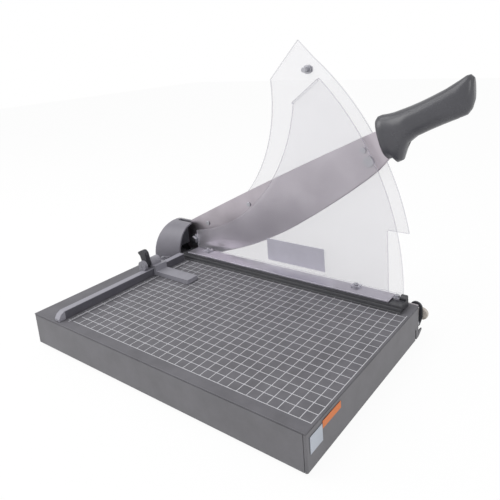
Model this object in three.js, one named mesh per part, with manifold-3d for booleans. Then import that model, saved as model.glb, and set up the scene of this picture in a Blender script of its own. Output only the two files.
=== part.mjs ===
// A guillotine paper cutter: a flat board with a squaring fence and paper stop, a pull-down
// curved blade on a pivot at the left rear, a paper clamp with a clear guard along the cut,
// a second clear guard behind the blade, and a safety latch at the right rear corner.
//
// Working axes, in millimetres: x runs along the cut from the board's left edge, y runs
// back and is 0 at the cut itself, and z runs up from the face of the board. Pieces of the
// cutting arm are drawn level, with the pivot as their origin, and the arm's group then
// raises them. The last lines move the whole cutter onto its own origin, which is the
// centre of its footprint.

import * as THREE from 'three';
import { mergeVertices } from 'three/addons/utils/BufferGeometryUtils.js';
import Module from 'manifold-3d';

const wasm = await Module();
wasm.setup();

// ---------- driving dimensions ----------

const gap = 0.3;                  // left between two pieces that touch

const boardLength = 439;
const boardDepth = 268.6;
const bodyHeight = 42.5;          // from the bottom flanges to the face of the board
const plateThickness = 1.5;
const sheetThickness = 1.6;
const flangeWidth = 22;
const footRadius = 8;
const footHeight = 3.5;

const knifeThickness = 3;
const knifeHeight = 18;
const knifeStart = 44;
const knifeInset = 2;             // the bed knife ends this far inside the board's right edge

const fenceLeft = 45.1;
const fenceWidth = 9.8;
const fenceHeight = 11.6;
const fenceFrontInset = 3.2;
const fenceClampGap = 3.8;         // from the fence's rear end to the clamp
const fenceChamfer = 9;

const pivotX = 44.1;
const pivotZ = 21;
const armRaise = 28;              // degrees the arm stands above its closed position
const bladeThickness = 2.5;
const boltRadius = 4;
const holeClearance = 0.3;

const clampFront = -35.6;
const clampRear = -9.3;
const clampLeft = 46;
const clampRightInset = 11.5;      // from the board's right edge to the clamp's right end
const clampHeight = 10;
const clampLift = 0.8;            // underside of the bar above the board
const stripLeft = 57.4;
const stripRightInset = 17;        // from the clamp's right end to its strip's
const stripThickness = 2.4;

const guardThickness = 2.6;
const frontGuardShort = 63;        // the guards' arcs end this far short of the board's length
const rearGuardShort = 56;
const rearGuardFront = 9.7;       // front face of the sheet behind the blade

const coverHeight = 51.4;
const coverWidth = 41;
const coverWall = 2.5;
const coverFrontLeft = 54.5;      // half widths of the arch, from the cut to its feet
const coverFrontRight = 38;
const coverRear = 34;

const stopReach = 127;            // right end of the paper stop's bar
const stopFront = -102.9;
const stopRear = -82.6;
const stopThickness = 6.5;

// ---------- finishes ----------

const finish = (color, roughness, metalness) =>
  new THREE.MeshStandardMaterial({ color, roughness, metalness });

const boardPaint = finish('#69686c', 0.6, 0.1);
const bodyPaint = finish('#66666a', 0.5, 0.2);
const blackPaint = finish('#2e2f33', 0.5, 0.1);
const blackPlastic = finish('#26251f', 0.5, 0.0);
const greyPlastic = finish('#7d7c84', 0.5, 0.0);
const stopPlastic = finish('#96959c', 0.5, 0.0);
const handlePlastic = finish('#55565b', 0.35, 0.0);
const bladeSteel = finish('#a09aa0', 0.3, 0.9);
const zincSteel = finish('#b8b8bc', 0.35, 0.9);
const aluminium = finish('#c5c3cb', 0.35, 0.9);
const rubber = finish('#202022', 0.9, 0.0);
const clearPlastic = new THREE.MeshStandardMaterial({
  color: '#e9e8ee',
  roughness: 0.1,
  metalness: 0,
  transparent: true,
  opacity: 0.3,
});
const labelGrey = finish('#b4bbc6', 0.6, 0.0);
const labelOrange = finish('#d9793f', 0.6, 0.0);
const knobPlastic = finish('#c8c0b8', 0.45, 0.0);

// ---------- solids ----------

function toSolid(geometry) {
  const bare = geometry.index ? geometry.clone() : geometry;
  bare.deleteAttribute('normal');
  bare.deleteAttribute('uv');
  const merged = mergeVertices(bare, 1e-4);
  const vertProperties = new Float32Array(merged.attributes.position.array);
  const triVerts = new Uint32Array(merged.index.array);
  return new wasm.Manifold(new wasm.Mesh({ numProp: 3, vertProperties, triVerts }));
}

function toGeometry(solid) {
  const mesh = solid.getMesh();
  const geometry = new THREE.BufferGeometry();
  geometry.setAttribute('position', new THREE.BufferAttribute(mesh.vertProperties, 3));
  geometry.setIndex(new THREE.BufferAttribute(mesh.triVerts, 1));
  return geometry;
}

const cut = (geometry, ...tools) =>
  toGeometry(tools.reduce((body, tool) => body.subtract(toSolid(tool)), toSolid(geometry)));

const join = (geometry, ...others) =>
  toGeometry(others.reduce((body, other) => body.add(toSolid(other)), toSolid(geometry)));

const keep = (geometry, region) =>
  toGeometry(toSolid(geometry).intersect(toSolid(region)));

function block(x0, x1, y0, y1, z0, z1) {
  const geometry = new THREE.BoxGeometry(x1 - x0, y1 - y0, z1 - z0);
  return geometry.translate((x0 + x1) / 2, (y0 + y1) / 2, (z0 + z1) / 2);
}

// round bars along each axis; a 6-sided one is a hexagon head or nut
function rodY(radius, x, z, y0, y1, sides = 24) {
  const geometry = new THREE.CylinderGeometry(radius, radius, y1 - y0, sides);
  return geometry.translate(x, (y0 + y1) / 2, z);
}

function rodZ(radius, x, y, z0, z1, sides = 24) {
  const geometry = new THREE.CylinderGeometry(radius, radius, z1 - z0, sides);
  return geometry.rotateX(Math.PI / 2).translate(x, y, (z0 + z1) / 2);
}

function outline(points) {
  return new THREE.Shape(points.map(([u, v]) => new THREE.Vector2(u, v)));
}

// a flat plate whose outline is drawn in x and z
function plate(shape, y0, y1, curveSegments = 16) {
  const options = { depth: y1 - y0, bevelEnabled: false, curveSegments };
  return new THREE.ExtrudeGeometry(shape, options).rotateX(Math.PI / 2).translate(0, y1, 0);
}

// a bar along x whose section is drawn in y and z
function bar(shape, x0, x1, curveSegments = 12) {
  const options = { depth: x1 - x0, bevelEnabled: false, curveSegments };
  const axes = new THREE.Matrix4().makeBasis(
    new THREE.Vector3(0, 1, 0),
    new THREE.Vector3(0, 0, 1),
    new THREE.Vector3(1, 0, 0),
  );
  return new THREE.ExtrudeGeometry(shape, options).applyMatrix4(axes).translate(x0, 0, 0);
}

// a closed skin over rings of points, each end closed by a fan from the ring's middle
function loft(rings) {
  const size = rings[0].length;
  const points = rings.flat();
  const middle = (ring) =>
    ring.reduce((sum, point) => sum.add(point), new THREE.Vector3()).divideScalar(size);
  const first = points.length;
  const last = first + 1;
  points.push(middle(rings[0]), middle(rings[rings.length - 1]));
  const faces = [];
  for (let k = 0; k < rings.length - 1; k += 1) {
    for (let i = 0; i < size; i += 1) {
      const a = k * size + i;
      const b = k * size + ((i + 1) % size);
      faces.push(a, a + size, b, b, a + size, b + size);
    }
  }
  const top = (rings.length - 1) * size;
  for (let i = 0; i < size; i += 1) {
    const j = (i + 1) % size;
    faces.push(first, i, j);
    faces.push(last, top + j, top + i);
  }
  const geometry = new THREE.BufferGeometry();
  geometry.setAttribute('position', new THREE.Float32BufferAttribute(
    points.flatMap((point) => [point.x, point.y, point.z]), 3));
  geometry.setIndex(faces);
  return geometry;
}

const cutter = new THREE.Group();
const arm = new THREE.Group();
arm.position.set(pivotX, 0, pivotZ);
arm.rotation.y = THREE.MathUtils.degToRad(-armRaise);
cutter.add(arm);

function add(name, geometry, material, parent = cutter) {
  const mesh = new THREE.Mesh(geometry, material);
  mesh.name = name;
  parent.add(mesh);
}

// ---------- places that several pieces share ----------

const boardRear = -knifeThickness - gap - 0.1;
const fenceRear = clampFront - fenceClampGap;
const clampRight = boardLength - clampRightInset;
const stripRight = clampRight - stripRightInset;
const frontGuardRadius = boardLength - frontGuardShort;
const rearGuardRadius = boardLength - rearGuardShort;
const boardFront = -boardDepth;
const bodyTop = -plateThickness - gap;
const webUnder = bodyTop - sheetThickness;
const wallInside = boardRear - sheetThickness;
const bodyBottom = -bodyHeight;
const bladeFront = gap;
const bladeBack = bladeFront + bladeThickness;
const clampTop = clampHeight + gap + stripThickness;
const guardScrewDepth = 6;
const frontGuardBack = -6.3;
const frontGuardFront = frontGuardBack - guardThickness;
const rearGuardBack = rearGuardFront + guardThickness;
const bracketFront = bladeBack + 1.6;
const bracketBack = rearGuardFront - gap;

// screws through the board's rear wall: a head inside the body and a plain shank
const wallScrewRadius = 2;
const wallScrewHead = 3.6;
const wallScrew = (x, z, end) => join(
  rodY(wallScrewHead, x, z, wallInside - gap - 3, wallInside - gap, 6),
  rodY(wallScrewRadius, x, z, wallInside - gap - 0.5, end, 16),
);
const wallHole = (x, z, end) =>
  rodY(wallScrewRadius + holeClearance, x, z, wallInside - 5, end + gap, 16);

const knifeEnd = boardLength - knifeInset;
const knifeScrewZ = -11;
const knifeScrewXs = [0.08, 0.92].map((t) => knifeStart + t * (knifeEnd - knifeStart));
const knifeScrewEnd = -0.8;

const bracketLeft = 4;
const bracketWeb = 8;
const bracketFlangeRight = knifeStart - 4;
const bracketFlangeBack = -0.6;
const bracketScrewX = 24;
const bracketScrewZs = [-12, -30];
const bracketScrewEnd = -0.9;

const rearNotchX = rearGuardRadius - 36;
const spacerX = pivotX + rearNotchX - 10.1;
const spacerZ = -28;
const spacerRadius = 5;

const latchX = boardLength - 9.5;
const latchZ = -30;
const latchPinRadius = 3;
const latchFront = 8;
const latchThickness = 3;

const guideRadius = 3;
const guideY = -18.5;
const guideXs = [clampLeft + 24, clampRight - 27.5];
const guideTop = 7.5;

const fenceX = fenceLeft + fenceWidth / 2;
const fenceFront = boardFront + fenceFrontInset;
const fenceScrewYs = [fenceFront + 25, fenceRear - 20];

// ---------- base: folded tray, board plate, stiffeners and feet ----------

const sideNotchY = -14;
const tabReach = 9;
const tray = cut(
  join(
    block(0, boardLength, boardFront, boardRear, bodyBottom, bodyTop),
    bar(
      outline([
        [boardRear - 1, bodyBottom],
        [boardRear, bodyBottom],
        [boardRear + tabReach, bodyBottom + 5],
        [boardRear + tabReach, bodyBottom + 7],
        [boardRear - 1, bodyBottom + 8],
      ]),
      boardLength - sheetThickness,
      boardLength,
    ),
  ),
  block(
    sheetThickness, boardLength - sheetThickness,
    boardFront + sheetThickness, wallInside,
    bodyBottom + sheetThickness, webUnder,
  ),
  block(
    flangeWidth, boardLength - flangeWidth,
    boardFront + flangeWidth, boardRear - flangeWidth,
    bodyBottom - 1, bodyBottom + sheetThickness + 1,
  ),
  block(boardLength - 6, boardLength + 1, sideNotchY - 2, sideNotchY + 2, bodyBottom - 1, bodyBottom + 14),
  ...knifeScrewXs.map((x) => wallHole(x, knifeScrewZ, 0)),
  ...bracketScrewZs.map((z) => wallHole(bracketScrewX, z, 0)),
  wallHole(spacerX, spacerZ, 0),
  rodY(latchPinRadius + holeClearance, latchX, latchZ, wallInside - 1, 0, 16),
  ...guideXs.map((x) => rodZ(guideRadius + holeClearance, x, guideY, webUnder - 1, 1, 16)),
  ...fenceScrewYs.map((y) => rodZ(wallScrewRadius + holeClearance, fenceX, y, webUnder - 1, 1, 16)),
);
add('base_shell', tray, bodyPaint);

add('board_plate', cut(
  block(0, boardLength, boardFront, boardRear, -plateThickness, 0),
  ...guideXs.map((x) => rodZ(guideRadius + holeClearance, x, guideY, -5, 1, 16)),
  ...fenceScrewYs.map((y) => rodZ(wallScrewRadius + holeClearance, fenceX, y, -5, 1, 16)),
), boardPaint);

const stiffenerDepth = 12;
const stiffenerWidth = 30;
function stiffener(y) {
  const top = webUnder - gap;
  const section = outline([
    [y - stiffenerWidth / 2, top],
    [y - stiffenerWidth / 2, top - sheetThickness],
    [y - stiffenerWidth / 4, top - sheetThickness],
    [y - stiffenerWidth / 4, top - stiffenerDepth],
    [y + stiffenerWidth / 4, top - stiffenerDepth],
    [y + stiffenerWidth / 4, top - sheetThickness],
    [y + stiffenerWidth / 2, top - sheetThickness],
    [y + stiffenerWidth / 2, top],
    [y + stiffenerWidth / 4 - sheetThickness, top],
    [y + stiffenerWidth / 4 - sheetThickness, top - stiffenerDepth + sheetThickness],
    [y - stiffenerWidth / 4 + sheetThickness, top - stiffenerDepth + sheetThickness],
    [y - stiffenerWidth / 4 + sheetThickness, top],
  ]);
  const inset = sheetThickness + gap;
  return bar(section, inset, boardLength - inset);
}
add('stiffener_front', stiffener(boardFront + boardDepth / 3), bodyPaint);
add('stiffener_rear', stiffener(boardFront + 2 * boardDepth / 3), bodyPaint);

const footInset = flangeWidth / 2 + 1;
const footPlaces = {
  foot_front_left: [footInset, boardFront + footInset],
  foot_front_right: [boardLength - footInset, boardFront + footInset],
  foot_rear_left: [footInset, boardRear - footInset],
  foot_rear_right: [boardLength - footInset - 5, boardRear - footInset - 8],
};
for (const [name, [x, y]] of Object.entries(footPlaces)) {
  const top = bodyBottom - gap;
  const profile = [
    [0, top - footHeight],
    [footRadius - 1.5, top - footHeight],
    [footRadius, top - footHeight + 1.5],
    [footRadius, top],
    [0, top],
  ].map(([r, z]) => new THREE.Vector2(r, z));
  const foot = new THREE.LatheGeometry(profile, 24).rotateX(Math.PI / 2).translate(x, y, 0);
  add(name, foot, rubber);
}

// ---------- bed knife along the rear edge ----------

add('bed_knife', cut(
  block(knifeStart, knifeEnd, -knifeThickness, 0, -knifeHeight, 0),
  ...knifeScrewXs.map((x) => rodY(
    wallScrewRadius + holeClearance, x, knifeScrewZ, -9, knifeScrewEnd + gap, 16)),
), bladeSteel);
knifeScrewXs.forEach((x, i) => {
  add(`bed_knife_screw_${i + 1}`, wallScrew(x, knifeScrewZ, knifeScrewEnd), zincSteel);
});

// ---------- squaring fence ----------

const fenceSide = outline([
  [fenceFront, gap],
  [fenceRear, gap],
  [fenceRear, fenceHeight],
  [fenceFront + fenceChamfer, fenceHeight],
  [fenceFront + fenceChamfer * 0.35, fenceHeight * 0.72],
  [fenceFront, fenceHeight * 0.3],
]);
const fenceScrewEnd = fenceHeight * 0.6;
add('fence', cut(
  bar(fenceSide, fenceLeft, fenceLeft + fenceWidth),
  ...fenceScrewYs.map((y) => rodZ(wallScrewRadius + holeClearance, fenceX, y, -1, fenceScrewEnd + gap, 16)),
), aluminium);
fenceScrewYs.forEach((y, i) => {
  const name = ['fence_screw_front', 'fence_screw_rear'][i];
  add(name, join(
    rodZ(wallScrewHead, fenceX, y, webUnder - gap - 3, webUnder - gap, 6),
    rodZ(wallScrewRadius, fenceX, y, webUnder - gap - 0.5, fenceScrewEnd, 16),
  ), zincSteel);
});

// ---------- pivot bracket, bolt and washers ----------

const guardTabX = pivotX + 24;
const guardScrewZs = [pivotZ + 10, pivotZ - 30];
const bracketRight = guardTabX + 10;
const bracketTop = pivotZ + 17;
const bracketFoot = -38;
const rearCheek = plate(outline([
  [bracketLeft, bracketFoot],
  [bracketRight, bracketFoot],
  [bracketRight, bracketTop - 14],
  [bracketRight - 16, bracketTop],
  [bracketLeft + 14, bracketTop],
  [bracketLeft, bracketTop - 14],
]), bracketFront, bracketBack);
const guardScrewTip = bracketFront + 0.8;
const bracket = cut(
  join(
    rearCheek,
    block(bracketLeft, bracketLeft + bracketWeb, boardRear + gap, bracketBack - 1, bracketFoot, -1.5),
    block(bracketLeft, bracketFlangeRight, boardRear + gap, bracketFlangeBack, bracketFoot, -1.5),
  ),
  rodY(boltRadius + holeClearance, pivotX, pivotZ, 0, 20),
  ...bracketScrewZs.map((z) => wallHole(bracketScrewX, z, 0)),
  ...guardScrewZs.map((z) => rodY(
    wallScrewRadius + holeClearance, guardTabX, z, guardScrewTip - gap, 20, 16)),
);
add('pivot_bracket', bracket, blackPaint);
bracketScrewZs.forEach((z, i) => {
  add(`bracket_screw_${i + 1}`, wallScrew(bracketScrewX, z, bracketScrewEnd), zincSteel);
});

const washer = (outer, inner, y0, y1) =>
  cut(rodY(outer, pivotX, pivotZ, y0, y1), rodY(inner, pivotX, pivotZ, y0 - 1, y1 + 1));
const frontWasherThickness = 1.6;
const boltHeadHeight = 4.5;
const washerBack = bladeFront - gap;
const headBack = washerBack - frontWasherThickness - gap;
const nutHeight = 6;
const nutFront = bracketBack + gap;
const boltEnd = nutFront + nutHeight + 2;
const boltHole = boltRadius + holeClearance;
add('pivot_washer', washer(10, boltHole, washerBack - frontWasherThickness, washerBack), zincSteel);
add('pivot_bolt', join(
  rodY(7.5, pivotX, pivotZ, headBack - boltHeadHeight, headBack, 6),
  rodY(boltRadius, pivotX, pivotZ, headBack - 0.5, boltEnd),
), zincSteel);
add('friction_washer', washer(14, boltHole, bladeBack + gap, bracketFront - gap), blackPlastic);
add('pivot_nut', cut(
  rodY(7.5, pivotX, pivotZ, nutFront, nutFront + nutHeight, 6),
  rodY(boltRadius + holeClearance, pivotX, pivotZ, 0, boltEnd + 5),
), zincSteel);

// ---------- pivot housing ----------

// The cover is an arch over the cut: its front feet run in towards the right end, and behind
// the board it hangs down over the bracket.
const archPower = 2.2;
const archSteps = 20;
function archRing(x, front, rear, height, under) {
  const ring = [];
  for (let i = 0; i <= archSteps; i += 1) {
    const angle = Math.PI * i / archSteps;
    const side = Math.cos(angle) > 0 ? -front : rear;
    const y = side * Math.abs(Math.cos(angle)) ** (2 / archPower);
    const z = height * Math.abs(Math.sin(angle)) ** (2 / archPower);
    ring.push(new THREE.Vector3(x, y + bladeFront + bladeThickness / 2, z));
  }
  const centre = bladeFront + bladeThickness / 2;
  ring.push(new THREE.Vector3(x, centre + rear, under), new THREE.Vector3(x, centre - front, under));
  return ring;
}
const coverLeft = 0.4;
const coverFoot = -40;
function archSolid(x0, x1, inset, under) {
  const front = (x) => coverFrontLeft + (coverFrontRight - coverFrontLeft) * x / coverWidth - inset;
  return loft([x0, x1].map((x) => archRing(x, front(x), coverRear - inset, coverHeight - inset, under)));
}
const aboveBoard = block(-20, coverWidth + 30, -90, boardRear + gap, coverFoot - 20, gap);
const slotHalf = 3.6;
const slotLeft = 8;
const bladeMiddle = bladeFront + bladeThickness / 2;
const bladeSlot = block(slotLeft, coverWidth + 20, bladeMiddle - slotHalf, bladeMiddle + slotHalf, 20, 90);
const earX = 20;
const earY = -coverFrontLeft + 4;
const coverEar = block(earX - 6, earX + 6, earY - 8, earY + 8, gap, 3);
const earScrewHole = rodZ(1.8 + holeClearance, earX, earY - 3.5, -5, 10, 16);
const cover = cut(
  join(
    cut(
      archSolid(coverLeft, coverWidth, 0, coverFoot),
      archSolid(coverLeft + coverWall, coverWidth + 5, coverWall, coverFoot - 10),
      aboveBoard,
      bladeSlot,
    ),
    coverEar,
  ),
  earScrewHole,
);
add('housing_cover', cover, greyPlastic);

const capRight = coverWidth - 0.8;
const capThickness = 2.4;
const capOutline = archSolid(capRight - capThickness, capRight, coverWall + gap, coverFoot + 4);
const capFrontEnd = -10.5;
const capRearStart = boltEnd + 1;
add('housing_end_cap_front', cut(
  keep(capOutline, block(0, 60, -90, capFrontEnd, gap, 90)),
  block(clampLeft - 30, 60, clampFront - 1, clampRear + 1, -5, clampTop + 7),
), blackPlastic);
const capRearRegion = block(0, 60, capRearStart, 90, coverFoot - 5, 90);
add('housing_end_cap_rear', keep(capOutline, capRearRegion), blackPlastic);
add('housing_screw', join(
  rodZ(3.4, earX, earY - 3.5, 3 + gap, 5.4, 16),
  rodZ(1.8, earX, earY - 3.5, 0.6, 4, 16),
), zincSteel);

// ---------- paper clamp: bar, top strip, rubber pad, end block, guide pins ----------

const padFront = clampFront + 4;
const padWidth = 8;
const padDepth = 1.6;
const grooveDepth = 1.1;
const lean = 0.26;
const faceAt = (z) => clampFront + z * lean;
const clampSection = outline([
  [faceAt(0), clampLift],
  [padFront, clampLift],
  [padFront, clampLift + padDepth],
  [padFront + padWidth, clampLift + padDepth],
  [padFront + padWidth, clampLift],
  [clampRear, clampLift],
  [clampRear, clampHeight],
  [faceAt(clampHeight), clampHeight],
  [faceAt(8.2), 8.2],
  [faceAt(7.8) + grooveDepth, 7.6],
  [faceAt(7) + grooveDepth, 6.9],
  [faceAt(6.4), 6.3],
  [faceAt(3.6), 3.6],
  [faceAt(3.2) + grooveDepth, 3.1],
  [faceAt(2.6) + grooveDepth, 2.5],
  [faceAt(2), 1.9],
]);
add('clamp_pad', block(
  clampLeft + 1, clampRight - 1,
  padFront + gap, padFront + padWidth - gap,
  gap, clampLift + padDepth - gap,
), rubber);
const postLeft = clampRight - 8;
add('clamp_end_block', bar(outline([
  [clampRear - 8, clampHeight + gap],
  [clampRear, clampHeight + gap],
  [clampRear, clampHeight + 4],
  [clampRear - 1.5, clampHeight + 5.5],
  [clampRear - 5.5, clampHeight + 5.5],
  [clampRear - 8, clampHeight + 3],
]), postLeft, clampRight), blackPlastic);
guideXs.forEach((x, i) => {
  add(['clamp_guide_left', 'clamp_guide_right'][i], join(
    rodZ(6, x, guideY, webUnder - gap - 4, webUnder - gap, 16),
    rodZ(guideRadius, x, guideY, webUnder - gap - 1, guideTop, 16),
  ), zincSteel);
});

// ---------- clear guards ----------

const onCircle = (radius, degrees) => {
  const angle = THREE.MathUtils.degToRad(degrees);
  return [radius * Math.cos(angle), radius * Math.sin(angle)];
};
const degreesAt = ([x, z], [cx, cz]) => THREE.MathUtils.radToDeg(Math.atan2(z - cz, x - cx));

// points along a circle about a centre, from one angle to another
function arcPoints([cx, cz], radius, from, to, steps) {
  const points = [];
  for (let i = 0; i <= steps; i += 1) {
    const [x, z] = onCircle(radius, from + (to - from) * i / steps);
    points.push([cx + x, cz + z]);
  }
  return points;
}

// front guard, drawn about the pivot: a fan whose left edge is hollow; its corners and the
// hollow's centre are shares of its outer radius
const frontGuardFoot = clampTop + gap - pivotZ;
const frontGuardLeft = stripLeft + 0.6 - pivotX;
const share = (radius, x, z) => [radius * x, radius * z];
const frontHollow = share(frontGuardRadius, -0.0739, 0.7189);
const frontHollowRadius = frontGuardRadius * 0.6715;
const frontCorner = share(frontGuardRadius, 0.5878, 0.6277);
const frontApexAngle = 45.4;
const frontHollowStart = THREE.MathUtils.radToDeg(
  -Math.acos((frontGuardLeft - frontHollow[0]) / frontHollowRadius));
const frontFootAngle = THREE.MathUtils.radToDeg(Math.asin(frontGuardFoot / frontGuardRadius));
const frontGuardOutline = outline([
  [frontGuardLeft, frontGuardFoot],
  ...arcPoints([0, 0], frontGuardRadius, frontFootAngle, frontApexAngle, 28),
  ...arcPoints(frontHollow, frontHollowRadius, degreesAt(frontCorner, frontHollow), frontHollowStart, 18),
]);
const guardFootDepth = 11;
const guardFootThickness = 2.2;
const guardScrewRadius = 1.5;
const endFootX = (stripRight + clampRight - 8) / 2;
const guardFeet = [
  { x: stripLeft + 29, half: 6, seat: clampTop + gap },
  { x: stripRight - 54, half: 6, seat: clampTop + gap },
  { x: endFootX, half: 3.8, seat: clampHeight + gap },
];
const frontSheet = plate(frontGuardOutline, frontGuardFront, frontGuardBack)
  .translate(pivotX, 0, pivotZ);
const lipDepth = 3.2;
const lipHeight = 2.4;
const apex = onCircle(frontGuardRadius, frontApexAngle);
const lipAngle = Math.atan2(apex[1] - frontCorner[1], apex[0] - frontCorner[0]);
const lipLength = Math.hypot(apex[0] - frontCorner[0], apex[1] - frontCorner[1]);
const lip = block(1, lipLength - 1, frontGuardFront - lipDepth, frontGuardBack - 0.5, -lipHeight - 0.5, -0.5)
  .rotateY(-lipAngle)
  .translate(pivotX + frontCorner[0], 0, pivotZ + frontCorner[1]);
const guardScrewY = frontGuardFront - guardFootDepth * 0.55;
const guardFoot = ({ x, half, seat }) => join(
  block(
    x - half, x + half,
    frontGuardFront - guardFootDepth, frontGuardBack - 0.5,
    seat, seat + guardFootThickness,
  ),
  block(x - half, x + half, frontGuardFront - 0.5, frontGuardBack - 0.5, seat, clampTop + 3),
);
const footHole = ({ x }) => rodZ(guardScrewRadius + holeClearance, x, guardScrewY, -1, 40, 12);
add('front_guard', cut(
  join(frontSheet, lip, ...guardFeet.map(guardFoot)),
  ...guardFeet.map(footHole),
), clearPlastic);
guardFeet.forEach(({ x, seat }, i) => {
  const top = seat + guardFootThickness + gap;
  add(`front_guard_screw_${i + 1}`, join(
    rodZ(3, x, guardScrewY, top, top + 2, 16),
    rodZ(guardScrewRadius, x, guardScrewY, seat - guardScrewDepth, top + 1, 12),
  ), zincSteel);
});
add('clamp_strip', cut(
  block(stripLeft, stripRight, faceAt(clampHeight) + 0.4, clampRear, clampHeight + gap, clampTop),
  ...guardFeet.slice(0, 2).map(footHole),
), aluminium);
add('clamp_bar', cut(
  bar(clampSection, clampLeft, clampRight),
  ...guideXs.map((x) => rodZ(guideRadius + holeClearance + 0.1, x, guideY, -5, guideTop + gap, 16)),
  ...guardFeet.map(({ x, seat }) => rodZ(
    guardScrewRadius + holeClearance, x, guardScrewY, seat - guardScrewDepth - gap, 40, 12)),
), blackPaint);

// sticker on the front guard, left plain
const labelWidth = 99.2;
const labelHeight = 34;
const labelLeft = stripRight - 204.8;
const labelBottom = clampTop + 7.5;
const stickerThickness = 0.4;
add('guard_label', block(
  labelLeft, labelLeft + labelWidth,
  frontGuardFront - gap - stickerThickness, frontGuardFront - gap,
  labelBottom, labelBottom + labelHeight,
), labelGrey);

// rear guard, drawn about the pivot: a larger fan, notched at its lower right for the latch
const rearGuardLeft = guardTabX - 10 - pivotX;
const rearGuardFoot = spacerZ - 7 - pivotZ;
const rearHollow = share(rearGuardRadius, -0.1379, 0.6436);
const rearHollowRadius = rearGuardRadius * 0.5914;
const rearCorner = share(rearGuardRadius, 0.4509, 0.6932);
const rearApex = share(rearGuardRadius, 0.5809, 0.8277);
const rearArcStart = 10.3;
const rearArcEnd = 50;
const rearHollowStart = THREE.MathUtils.radToDeg(
  -Math.acos((rearGuardLeft - rearHollow[0]) / rearHollowRadius));
const notchTop = onCircle(rearGuardRadius, rearArcStart)[1];
const rearGuardOutline = outline([
  [rearGuardLeft, rearGuardFoot],
  [rearNotchX, rearGuardFoot],
  [rearNotchX, notchTop],
  ...arcPoints([0, 0], rearGuardRadius, rearArcStart, rearArcEnd, 24),
  rearApex,
  ...arcPoints(rearHollow, rearHollowRadius, degreesAt(rearCorner, rearHollow), rearHollowStart, 18),
]);
const [stopPinX, stopPinZ] = share(rearGuardRadius, 0.6167, 0.7253);
const stopPinPlace = [pivotX + stopPinX, pivotZ + stopPinZ];
const stopPinRadius = 3.5;
const guardScrewEnd = wallInside - gap - 4;
add('rear_guard', cut(
  plate(rearGuardOutline, rearGuardFront, rearGuardBack).translate(pivotX, 0, pivotZ),
  ...guardScrewZs.map((z) => rodY(wallScrewRadius + holeClearance, guardTabX, z, 0, 30, 16)),
  rodY(wallScrewRadius + holeClearance, spacerX, spacerZ, 0, 30, 16),
  rodY(stopPinRadius + holeClearance, ...stopPinPlace, 0, 30),
), clearPlastic);
guardScrewZs.forEach((z, i) => {
  add(`rear_guard_screw_${i + 1}`, join(
    rodY(4, guardTabX, z, rearGuardBack + gap, rearGuardBack + gap + 2.4, 16),
    rodY(wallScrewRadius, guardTabX, z, guardScrewTip, rearGuardBack + gap + 1, 16),
  ), zincSteel);
});
add('rear_guard_spacer', cut(
  rodY(spacerRadius, spacerX, spacerZ, boardRear + gap, rearGuardFront - gap),
  rodY(wallScrewRadius + holeClearance, spacerX, spacerZ, boardRear - 5, 30, 16),
), zincSteel);
add('rear_guard_screw_3', join(
  rodY(4, spacerX, spacerZ, rearGuardBack + gap, rearGuardBack + gap + 2.4, 16),
  rodY(wallScrewRadius, spacerX, spacerZ, guardScrewEnd, rearGuardBack + gap + 1, 16),
), zincSteel);

// pin that stops the raised arm, shouldered against the front of the sheet
add('arm_stop_pin', join(
  rodY(stopPinRadius, ...stopPinPlace, bladeFront - 1, rearGuardBack + 2, 20),
  rodY(6, ...stopPinPlace, rearGuardFront - gap - 1.6, rearGuardFront - gap, 20),
  rodY(6, ...stopPinPlace, rearGuardBack + gap, rearGuardBack + gap + 3.6, 6),
), zincSteel);

// ---------- cutting arm, drawn level about the pivot ----------

const bladeEnd = frontGuardRadius + 23;
const bladeScrewX = bladeEnd - 34;
const bladeScrewZs = [4.2, -11.7];
const rivetPlaces = [[pivotX + 1.6, 14.3], [bladeEnd * 0.366, 10.7]];
const tangStart = bladeEnd - 49;
const tangFront = bladeBack + gap;
const tangBack = tangFront + bladeThickness;
const tangEnd = bladeEnd + 73;
const gripScrewXs = [bladeEnd + 19, bladeEnd + 57];
const gripScrewZ = 7;

const bladeShape = new THREE.Shape();
bladeShape.moveTo(14, 32.5);
bladeShape.quadraticCurveTo(-20, 26, -24, 0);
bladeShape.quadraticCurveTo(-21, -25, 10, -33);
bladeShape.lineTo(48, -38.5);
const edgeKnots = [
  [0.2256, -45], [0.3283, -48.8], [0.4627, -49.5], [0.5965, -46.2], [0.7744, -38.5], [0.916, -29],
];
bladeShape.splineThru([
  ...edgeKnots.map(([along, z]) => new THREE.Vector2(bladeEnd * along, z)),
  new THREE.Vector2(bladeEnd - 1, -18),
]);
bladeShape.lineTo(bladeEnd, -12);
bladeShape.lineTo(bladeEnd, 14);
bladeShape.lineTo(bladeEnd - 3, 18);
bladeShape.quadraticCurveTo(bladeEnd * 0.576, 29, 14, 32.5);

const armRod = (radius, [x, z], y0, y1, sides = 16) => rodY(radius, x, z, y0, y1, sides);
const bladeScrewPlaces = bladeScrewZs.map((z) => [bladeScrewX, z]);
add('blade', cut(
  plate(bladeShape, bladeFront, bladeBack, 10),
  armRod(boltRadius + holeClearance, [0, 0], -5, 20, 24),
  ...[...bladeScrewPlaces, ...rivetPlaces].map((place) => armRod(2.5, place, -5, 10)),
), bladeSteel, arm);

add('handle_tang', cut(
  plate(outline([
    [tangStart, -19],
    [bladeEnd - 12, -14],
    [tangEnd, 0],
    [tangEnd, 14],
    [bladeEnd - 12, 14],
    [tangStart, 14],
  ]), tangFront, tangBack),
  ...bladeScrewPlaces.map((place) => armRod(2.5, place, -5, 10)),
  ...gripScrewXs.map((x) => armRod(2.2, [x, gripScrewZ], -5, 10)),
), zincSteel, arm);

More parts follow.
